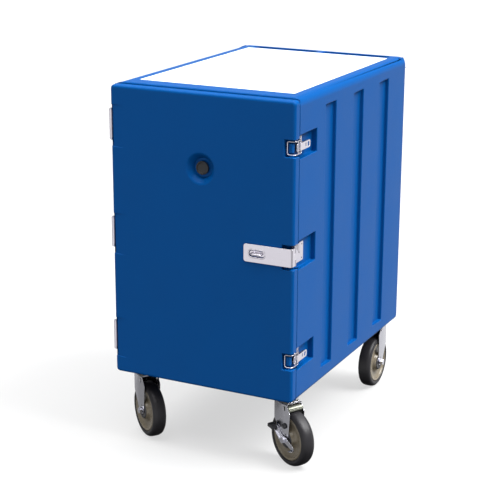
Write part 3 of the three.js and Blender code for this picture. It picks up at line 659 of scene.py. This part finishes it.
def plate_bolts(name, pivot):
    corners = [(pivot.x + i * 24 * MM, pivot.y + j * 37 * MM) for i in (-1, 1) for j in (-1, 1)]
    heads = [Vector((x, y, (BODY_BOTTOM - 4.3) * MM)) for x, y in corners]
    dress(bolt_heads(f"{name}_plate_bolts", heads, 6.5, 4.5, (0, 0, -1)), "zinc_plate", "root")


def swivel_caster(name):
    _, axle, centre = caster_frame(name)
    pivot = middle(f"{name}_kingpin")
    swivel = f"{name}_swivel"
    wheel_pieces(name, axle, centre)
    plate_bolts(name, pivot)
    fork = fork_piece(name, SWIVEL_CROWN, 50, 18, SWIVEL_LEAD)
    dress(fork, "zinc_plate", swivel, [f"{name}_fork"])
    race = [(8, -0.6), (27, -0.6), (29, 1), (29, 4), (27.5, 4.9), (8, 4.9)]
    crown = Vector((pivot.x, pivot.y, SWIVEL_CROWN * MM))
    # The race gets the darker zinc as painted shade.
    dress(lathe(f"{name}_swivel_race", race, crown, (0, 0, 1), 64), "zinc_plate", swivel, look=SHADE_DARK_ZINC)


def rigid_caster(name):
    at, axle, centre = caster_frame(name)
    wheel_pieces(name, axle, centre)
    plate_bolts(name, centre + Vector((0, RIGID_LEAD * MM, 0)))
    fork = fork_piece(name, BODY_BOTTOM - 3.5, 45, 10)
    dress(fork, "zinc_plate", "root", [f"{name}_fork"])
    outline = rectangle(-32, -66, 32, 26, 7)
    plate = prism(outline, "z", BODY_BOTTOM - 4.3, BODY_BOTTOM - 0.4, at, f"{name}_plate")
    dress(soften(plate, 0.8), "zinc_plate", "root")


for name in CASTERS:
    if name.startswith("front"):
        swivel_caster(name)
    else:
        rigid_caster(name)


# ---- brake of the front right caster ----
def brake_rocker(at, axle, centre):
    """The pedal: a web beside the leg, with a strip and a toe bent out of it to be trodden on."""

    def beside_axle(points, radii, steps):
        return fillet([(u, centre.z / MM + v) for u, v in points], radii, steps)

    outline = [(-9, -6), (-36, 16), (-49, 24), (-46, 33), (-32, 31), (-6, 9), (9, 8), (40, -9), (44, -18),
               (36, -19), (8, -9)]
    outline = beside_axle(outline, [6, 10, 3, 3, 6, 8, 8, 4, 2, 2, 8], 5)
    web = prism(outline, "x", -29.5, -27.1, at, "front_right_brake_rocker")
    strip = beside_axle([(-12, -3.6), (-36, 16), (-49, 24), (-48, 26), (-35, 18), (-11, -1.4)], 0.6, 3)
    toe = beside_axle([(34, -18.6), (44, -18), (43.8, -16), (34, -16.4)], 0.6, 3)
    combine(web, [prism(strip, "x", -34, -28, at), prism(toe, "x", -41, -28, at)], "UNION")
    combine(web, [rod("bore", 5.4, -40, 0, centre, axle)], "DIFFERENCE")
    dress(soften(web, 0.5), "zinc_plate", "front_right_brake", ["front_right_brake_pedal"])


def brake_tread(at, centre):
    """The ribbed pad on the pedal's raised end."""
    z = centre.z / MM
    profile = [(-50, z + 25.2)]
    for k in range(5):
        u = -49.5 + 4 * k
        rib = [(u, 33.4), (u + 0.5, 34), (u + 2.3, 34), (u + 2.8, 32.2), (u + 3.6, 32.2)]
        profile += [(along, z + up) for along, up in rib]
    profile.append((-30, z + 22))
    tread = prism(profile, "x", -46, -30, at, "front_right_brake_tread")
    dress(soften(tread, 0.35, segments=2), "dark_plastic", "front_right_brake")


def brake_shoe(at):
    """The block that hangs between the legs over the tyre, with a cheek down each side."""
    outline = fillet([(-12, 154.6), (15, 154.6), (15, 161), (9, 166), (-12, 166)], [3, 3, 3, 4, 3], 5)
    shoe = prism(outline, "x", -22.6, 22.6, at, "front_right_brake_block")
    cheek = rectangle(-6, 133, 6, 157, 4)
    cheeks = [prism(cheek, "x", *sorted((side * 20.4, side * 22.6)), at) for side in (-1, 1)]
    combine(shoe, cheeks, "UNION")
    combine(shoe, [prism(rectangle(-14, 161.2, 20, 162.6), "x", -24, 24, at)], "DIFFERENCE")
    body = "front_right_brake_shoe"
    # The shoe gets the darker zinc as painted shade.
    dress(soften(shoe, 0.7), "zinc_plate", body, ["front_right_brake_shoe"], look=SHADE_DARK_ZINC)


def brake_pieces():
    at, axle, centre = caster_frame("front_right")
    brake_rocker(at, axle, centre)
    brake_tread(at, centre)
    stud = [(0, -29.4), (6.4, -29.4), (7.4, -28.6), (7.6, -26.4), (0, -26.4)]
    stud = lathe("front_right_leg_stud", stud, at(0, -2, centre.z / MM + 37), axle, 32)
    dress(stud, "dark_plastic", "front_right_swivel")
    brake_shoe(at)


brake_pieces()


# ---- vent cap ----
def vent_cap():
    front = (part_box("vent_cap")[0].y - FRONT_Y) / MM
    profile = [(0, front + 2.2), (13, front + 2.2), (14.4, front), (17.5, front + 0.4), (17.5, front + 6.5),
               (7, front + 6.5), (6.4, 22), (0, 22)]
    profile = fillet(profile, [0, 0.6, 0.6, 1.2, 0.6, 0.6, 0.6, 0], 4)
    return lathe("vent_pull_cap", profile, place(0, 0, VENT_HEIGHT), (0, 1, 0), 72)


dress(vent_cap(), "black_rubber", "vent_cap", ["vent_cap"])


# ---- hasp ----
def knuckle(low, high, bore):
    """A tube round the hasp's pin, low and high counted from the hasp's middle."""
    profile = [(bore, low), (4, low), (4, high), (bore, high)]
    return lathe("knuckle", profile, place(HASP_PIN_X, HASP_PIN_Y, HASP_HEIGHT), (0, 0, 1), 32)


def strap_piece():
    """The strap: flat across the door, bent round its corner to the pin, with a rimmed slot."""
    z0, z1 = HASP_HEIGHT - STRAP_HALF, HASP_HEIGHT + STRAP_HALF
    back = STRAP_FRONT + 2
    outer = fillet([(124, STRAP_FRONT), (258, STRAP_FRONT), (258, -9)], [0, 8, 0], 8, closed=False)
    inner = fillet([(124, back), (256, back), (256, -9)], [0, 6, 0], 8, closed=False)
    strap = prism(outer + inner[::-1], "z", z0, z1)
    trim = prism(rectangle(123.9, z0 - 0.1, 270, z1 + 0.1, [7, 0, 0, 7]), "y", -36, 10)
    combine(strap, [trim], "INTERSECT")

    def slot():
        return prism(rectangle(139, HASP_HEIGHT - 9, 183, HASP_HEIGHT + 9, 8.9, 8), "y", -36, -28)

    gaps = ((z0 - 1, HASP_HEIGHT - 8), (HASP_HEIGHT + 8, z1 + 1))
    notches = [prism(rectangle(246, low, 262, high), "y", -14, 0) for low, high in gaps]
    combine(strap, [slot()] + notches, "DIFFERENCE")
    combine(strap, [knuckle(-8, 8, 2.3)], "UNION")
    rim = rectangle(136.4, HASP_HEIGHT - 11.6, 185.6, HASP_HEIGHT + 11.6, 11.5, 8)
    lip = prism(rim, "y", -34.5, -32.5)
    combine(lip, [slot()], "DIFFERENCE")
    combine(strap, [lip], "UNION")
    return soften(strap, lambda x, y, z: 0.7 if y < -20 else 0.3, segments=2)


def staple_pieces():
    arch = [place(x, y, HASP_HEIGHT) for x, y in ((147, -30.6), (147, -42.2), (175, -42.2), (175, -30.6))]
    arch = fillet(arch, [0, 10 * MM, 10 * MM, 0], 10, closed=False)
    dress(wire("hasp_staple_loop", arch, 2.4), "stainless_steel", "door", ["hasp_staple"])
    outline = rectangle(140, HASP_HEIGHT - 7, 182, HASP_HEIGHT + 7, 6.5)
    foot = prism(outline, "y", -31.3, -30.2, name="hasp_staple_foot")
    dress(soften(foot, 0.4), "stainless_steel", "door")


def leaf_pieces():
    """The side leaf, riveted in the body's recess and rolled round the pin."""
    z0, z1 = HASP_HEIGHT - HASP_HALF, HASP_HEIGHT + HASP_HALF
    back, gap = 246.3, 8.4
    leaf = prism(rectangle(-2, z0, 55, z1, [1, 4, 4, 1]), "x", back, back + 2, name="hasp_leaf_plate")
    combine(leaf, [prism(rectangle(back, -11, 252.5, -0.4, [0, 1, 1, 0]), "z", z0, z1)], "UNION")
    knuckles = [knuckle(-HASP_HALF, -gap, 2.2), knuckle(gap, HASP_HALF, 2.2)]
    room = prism(rectangle(244, -20, 262, -1.2), "z", HASP_HEIGHT - gap, HASP_HEIGHT + gap)
    combine(leaf, [room], "DIFFERENCE")
    combine(leaf, knuckles, "UNION")
    pin = place(HASP_PIN_X, HASP_PIN_Y, HASP_HEIGHT)
    combine(leaf, [rod("bore", 2.2, -40, 40, pin, (0, 0, 1))], "DIFFERENCE")
    dress(soften(leaf, 0.4, segments=2), "stainless_steel", "root", ["hasp_side_leaf"])
    spots = ((12, -17), (12, 17), (47, -18), (47, 18), (30, 0))
    rivets = [place(248.2, y, HASP_HEIGHT + dz) for y, dz in spots]
    # The steel rivet heads take the dark plastic finish: painted shade for the countersunk holes they sit in.
    dress(bolt_heads("hasp_leaf_rivets_painted_shade", rivets, 1.9, 0.5, (1, 0, 0), 16), "dark_plastic", "root")


hasp_strap = strap_piece()
hasp_strap.name = "hasp_hinged_strap"
dress(hasp_strap, "stainless_steel", "hasp_strap", ["hasp_strap"])
staple_pieces()
leaf_pieces()


# ---- draw latches ----
def latch_bail(name, height):
    """The wire that hooks over the door's post, and the slotted yoke across it."""
    body = f"{name}_latch_bail"
    half = [(257.4, 12.4, 8.2), (257.4, 12.4, 16.5), (257.4, -22.5, 16.5), (237, -22.5, 16.5)]
    corners = half + [(x, y, -z) for x, y, z in reversed(half)]
    radii = [0] + [r * MM for r in (2, 7, 5, 5, 7, 2)] + [0]
    path = fillet([place(x, y, height + z) for x, y, z in corners], radii, 8, closed=False)
    dress(wire(f"{name}_bail_wire", path, 1.5), "stainless_steel", body, [f"{name}_latch_bail"])
    outline = rectangle(-12, height - 9.5, 2, height + 9.5, 2)
    yoke = prism(outline, "x", 256.9, 258.5, name=f"{name}_bail_yoke")
    combine(yoke, [prism(rectangle(-6, height - 16.5, -3.5, height + 16.5), "x", 257, 258.4)], "UNION")
    slots = [prism(rectangle(y, height - 7.5, y + 4, height + 7.5, 1.5), "x", 250, 262) for y in (-10.5, -3)]
    combine(yoke, slots, "DIFFERENCE")
    dress(soften(yoke, 0.4, segments=2), "stainless_steel", body)


def latch_lever(name, height):
    """The slotted plate that is pulled, with a flange down each edge and a groove for the bail's ends."""
    outline = rectangle(3.5, height - 9.5, 62, height + 9.5, [2, 6, 6, 2])
    lever = prism(outline, "x", 258.8, 260.4, name=f"{name}_lever_plate")
    side = [(248, 2.5), (254, 2), (259.4, 3.5), (259.4, 50), (254, 46), (252, 20), (247, 9)]
    side = fillet(side, [2, 2, 0, 0, 4, 6, 3], 4)
    flanges = [prism(side, "z", *sorted((height + k * 9.5, height + k * 7.9))) for k in (-1, 1)]
    combine(lever, flanges, "UNION")
    slots = [prism(rectangle(y, height - 5.5, y + width, height + 5.5, 1.8), "x", 250, 266)
             for y, width in ((33, 4.5), (47, 8))]
    slots.append(prism(rectangle(10.5, height - 18, 14.3, height + 18), "x", 255.5, 259.3))
    combine(lever, slots, "DIFFERENCE")
    pivot = place(LATCH_PIVOT_X, LATCH_PIVOT_Y, height)
    combine(lever, [rod("pivot", 2.3, -11, 11, pivot, (0, 0, 1), 20)], "DIFFERENCE")
    body = f"{name}_latch_lever"
    dress(soften(lever, 0.45, segments=2), "stainless_steel", body, [f"{name}_latch_lever"])


def latch_base(name, height):
    """The plate with two ears, a cross strip with its screws, and the rod that the lever turns on."""
    screws = [place(247.7, 31, height + dz) for dz in (-17.5, 17.5)]
    heads = bolt_heads(f"{name}_latch_screws", screws, 2.6, 1.0, (1, 0, 0), 20)
    dress(heads, "stainless_steel", "root")
    back, front = 244.3, 246.3
    outline = rectangle(5, height - 11, 42, height + 11, 3)
    plate = prism(outline, "x", back, front, name=f"{name}_latch_plate")
    ear = [(x, y) for y, x in fillet([(3, 245), (12, 245), (11, 256.4), (2, 256.4)], [0, 0, 4, 4], 4)]
    ears = []
    for k in (-1, 1):
        ears.append(prism(ear, "z", *sorted((height + k * 11.6, height + k * 13.4))))
        ears.append(prism(rectangle(3, height - 14, 12, height + 14), "x", back, front))
    combine(plate, ears, "UNION")
    # The base plate gets the darker steel as painted shade from the lever over it.
    dress(soften(plate, 0.4, segments=2), "stainless_steel", "root", [f"{name}_latch_base"], SHADED_STEEL)
    outline = rectangle(25, height - 21.5, 37, height + 21.5, 3)
    tabs = prism(outline, "x", front, 247.8, name=f"{name}_latch_tabs")
    dress(soften(tabs, 0.4, segments=2), "stainless_steel", "root")
    pivot = place(LATCH_PIVOT_X, LATCH_PIVOT_Y, height)
    pivot_rod = rod(f"{name}_latch_rod", 1.8, -14.5, 14.5, pivot, (0, 0, 1), 20)
    dress(pivot_rod, "stainless_steel", "root")


for name, height in zip(LATCHES, LATCH_HEIGHTS):
    latch_bail(name, height)
    latch_lever(name, height)
    latch_base(name, height)

# ---- hinge screws ----
for name, height in zip(HINGES, HINGE_HEIGHTS):
    spots = [place(-257.2, y, height + dz) for y in (14, 30) for dz in (-28, 0, 28)]
    heads = bolt_heads(f"{name}_hinge_screws", spots, 2.8, 1.0, (-1, 0, 0), 20)
    dress(heads, "stainless_steel", "root")


# ---- carried-over CAD nodes ----
def finish_cad_node(obj, slot):
    obj.data.materials.clear()
    obj.data.materials.append(FINISHES[slot])
    bevel = obj.modifiers.new("soft edges", "BEVEL")
    bevel.width = 0.4 * MM
    bevel.segments = 2
    bevel.limit_method = "ANGLE"
    bevel.angle_limit = math.radians(38)
    keep_faces_flat(obj)


SLOT_OF = {entry["node"]: entry["material_slot"] for entry in frame["record"]["subparts"]}
for node, obj in frame["nodes"].items():
    if not obj.hide_render:
        finish_cad_node(obj, SLOT_OF[node])


# ---- floor, light and camera ----
def studio_floor():
    """A pale floor that glows, and neither lights the carrier nor is mirrored in it."""
    bm = bmesh.new()
    bmesh.ops.create_grid(bm, x_segments=4, y_segments=4, size=40)
    floor = new_object("studio_floor", bm)
    pale = finish("pale floor", (0.22, 0.22, 0.22), 0.8, specular=0.0, mottle=0.01, relief=0.0)
    glow = pale.node_tree.nodes["Principled BSDF"]
    glow.inputs["Emission Color"].default_value = (1, 1, 1, 1)
    glow.inputs["Emission Strength"].default_value = 0.62
    floor.data.materials.append(pale)
    floor.visible_diffuse = False
    floor.visible_glossy = False


def studio_world():
    """White light that is brightest near the horizon ahead and behind, and fades up, down and aside."""
    world = bpy.data.worlds.new("studio")
    world.use_nodes = True
    tree = world.node_tree
    sky = tree.nodes.new("ShaderNodeTexCoord")
    split = tree.nodes.new("ShaderNodeSeparateXYZ")
    tree.links.new(sky.outputs["Generated"], split.inputs["Vector"])
    level = map_range(tree, split.outputs["Z"], (-0.05, 0.35), (1.0, 0.25), smooth=True)
    below = map_range(tree, split.outputs["Z"], (-0.62, -0.42), (0.08, 1.0))
    aside = arithmetic(tree, "ABSOLUTE", split.outputs["Y"])
    ahead = map_range(tree, aside, (0.15, 0.8), (0.35, 1.0), smooth=True)
    band = arithmetic(tree, "MULTIPLY", level, below)
    background = tree.nodes["Background"]
    background.inputs["Color"].default_value = (1, 1, 1, 1)
    tree.links.new(arithmetic(tree, "MULTIPLY", band, ahead), background.inputs["Strength"])
    bpy.context.scene.world = world


def aim(light, spot, target):
    obj = bpy.data.objects.new(light.name, light)
    obj.location = spot
    obj.rotation_euler = (Vector(target) - Vector(spot)).to_track_quat("-Z", "Y").to_euler()
    bpy.context.scene.collection.objects.link(obj)


def sun(name, spot, energy, spread):
    light = bpy.data.lights.new(name, "SUN")
    light.energy = energy
    light.angle = math.radians(spread)
    aim(light, spot, (0, 0, 0))


def square_lamp(name, spot, target, energy, size):
    light = bpy.data.lights.new(name, "AREA")
    light.energy = energy
    light.shape = "SQUARE"
    light.size = size
    aim(light, spot, target)


def photo_camera(stand, azimuth, elevation, roll, lens):
    """Looks from stand along the angles given in degrees. Azimuth turns from the front to the right."""
    azimuth, elevation, roll = (math.radians(angle) for angle in (azimuth, elevation, roll))
    data = bpy.data.cameras.new("camera")
    data.sensor_width = 36
    data.lens = lens
    data.clip_start = 0.05
    data.clip_end = 200
    camera = bpy.data.objects.new("camera", data)
    bpy.context.scene.collection.objects.link(camera)
    level = math.cos(elevation)
    forward = Vector((-math.sin(azimuth) * level, math.cos(azimuth) * level, -math.sin(elevation)))
    across = Vector((math.cos(azimuth), math.sin(azimuth), 0))
    upward = across.cross(forward)
    right = across * math.cos(roll) + upward * math.sin(roll)
    top = -across * math.sin(roll) + upward * math.cos(roll)
    axes = Matrix((right, top, -forward)).transposed().to_4x4()
    camera.matrix_world = Matrix.Translation(stand) @ axes
    bpy.context.scene.camera = camera


studio_floor()
studio_world()
sun("overhead", (0.1, 0.25, 3), energy=4.9, spread=80)
sun("key", (2.6, 0.5, 3), energy=4.1, spread=35)
square_lamp("front_fill", (-0.3, -1.9, 2.6), (0, -0.3, 0.9), energy=3, size=1.2)
photo_camera(place(1656, -3101.3, 1607), azimuth=26.26, elevation=16.51, roll=0.31, lens=102.6)
bpy.context.scene.view_settings.view_transform = "Standard"
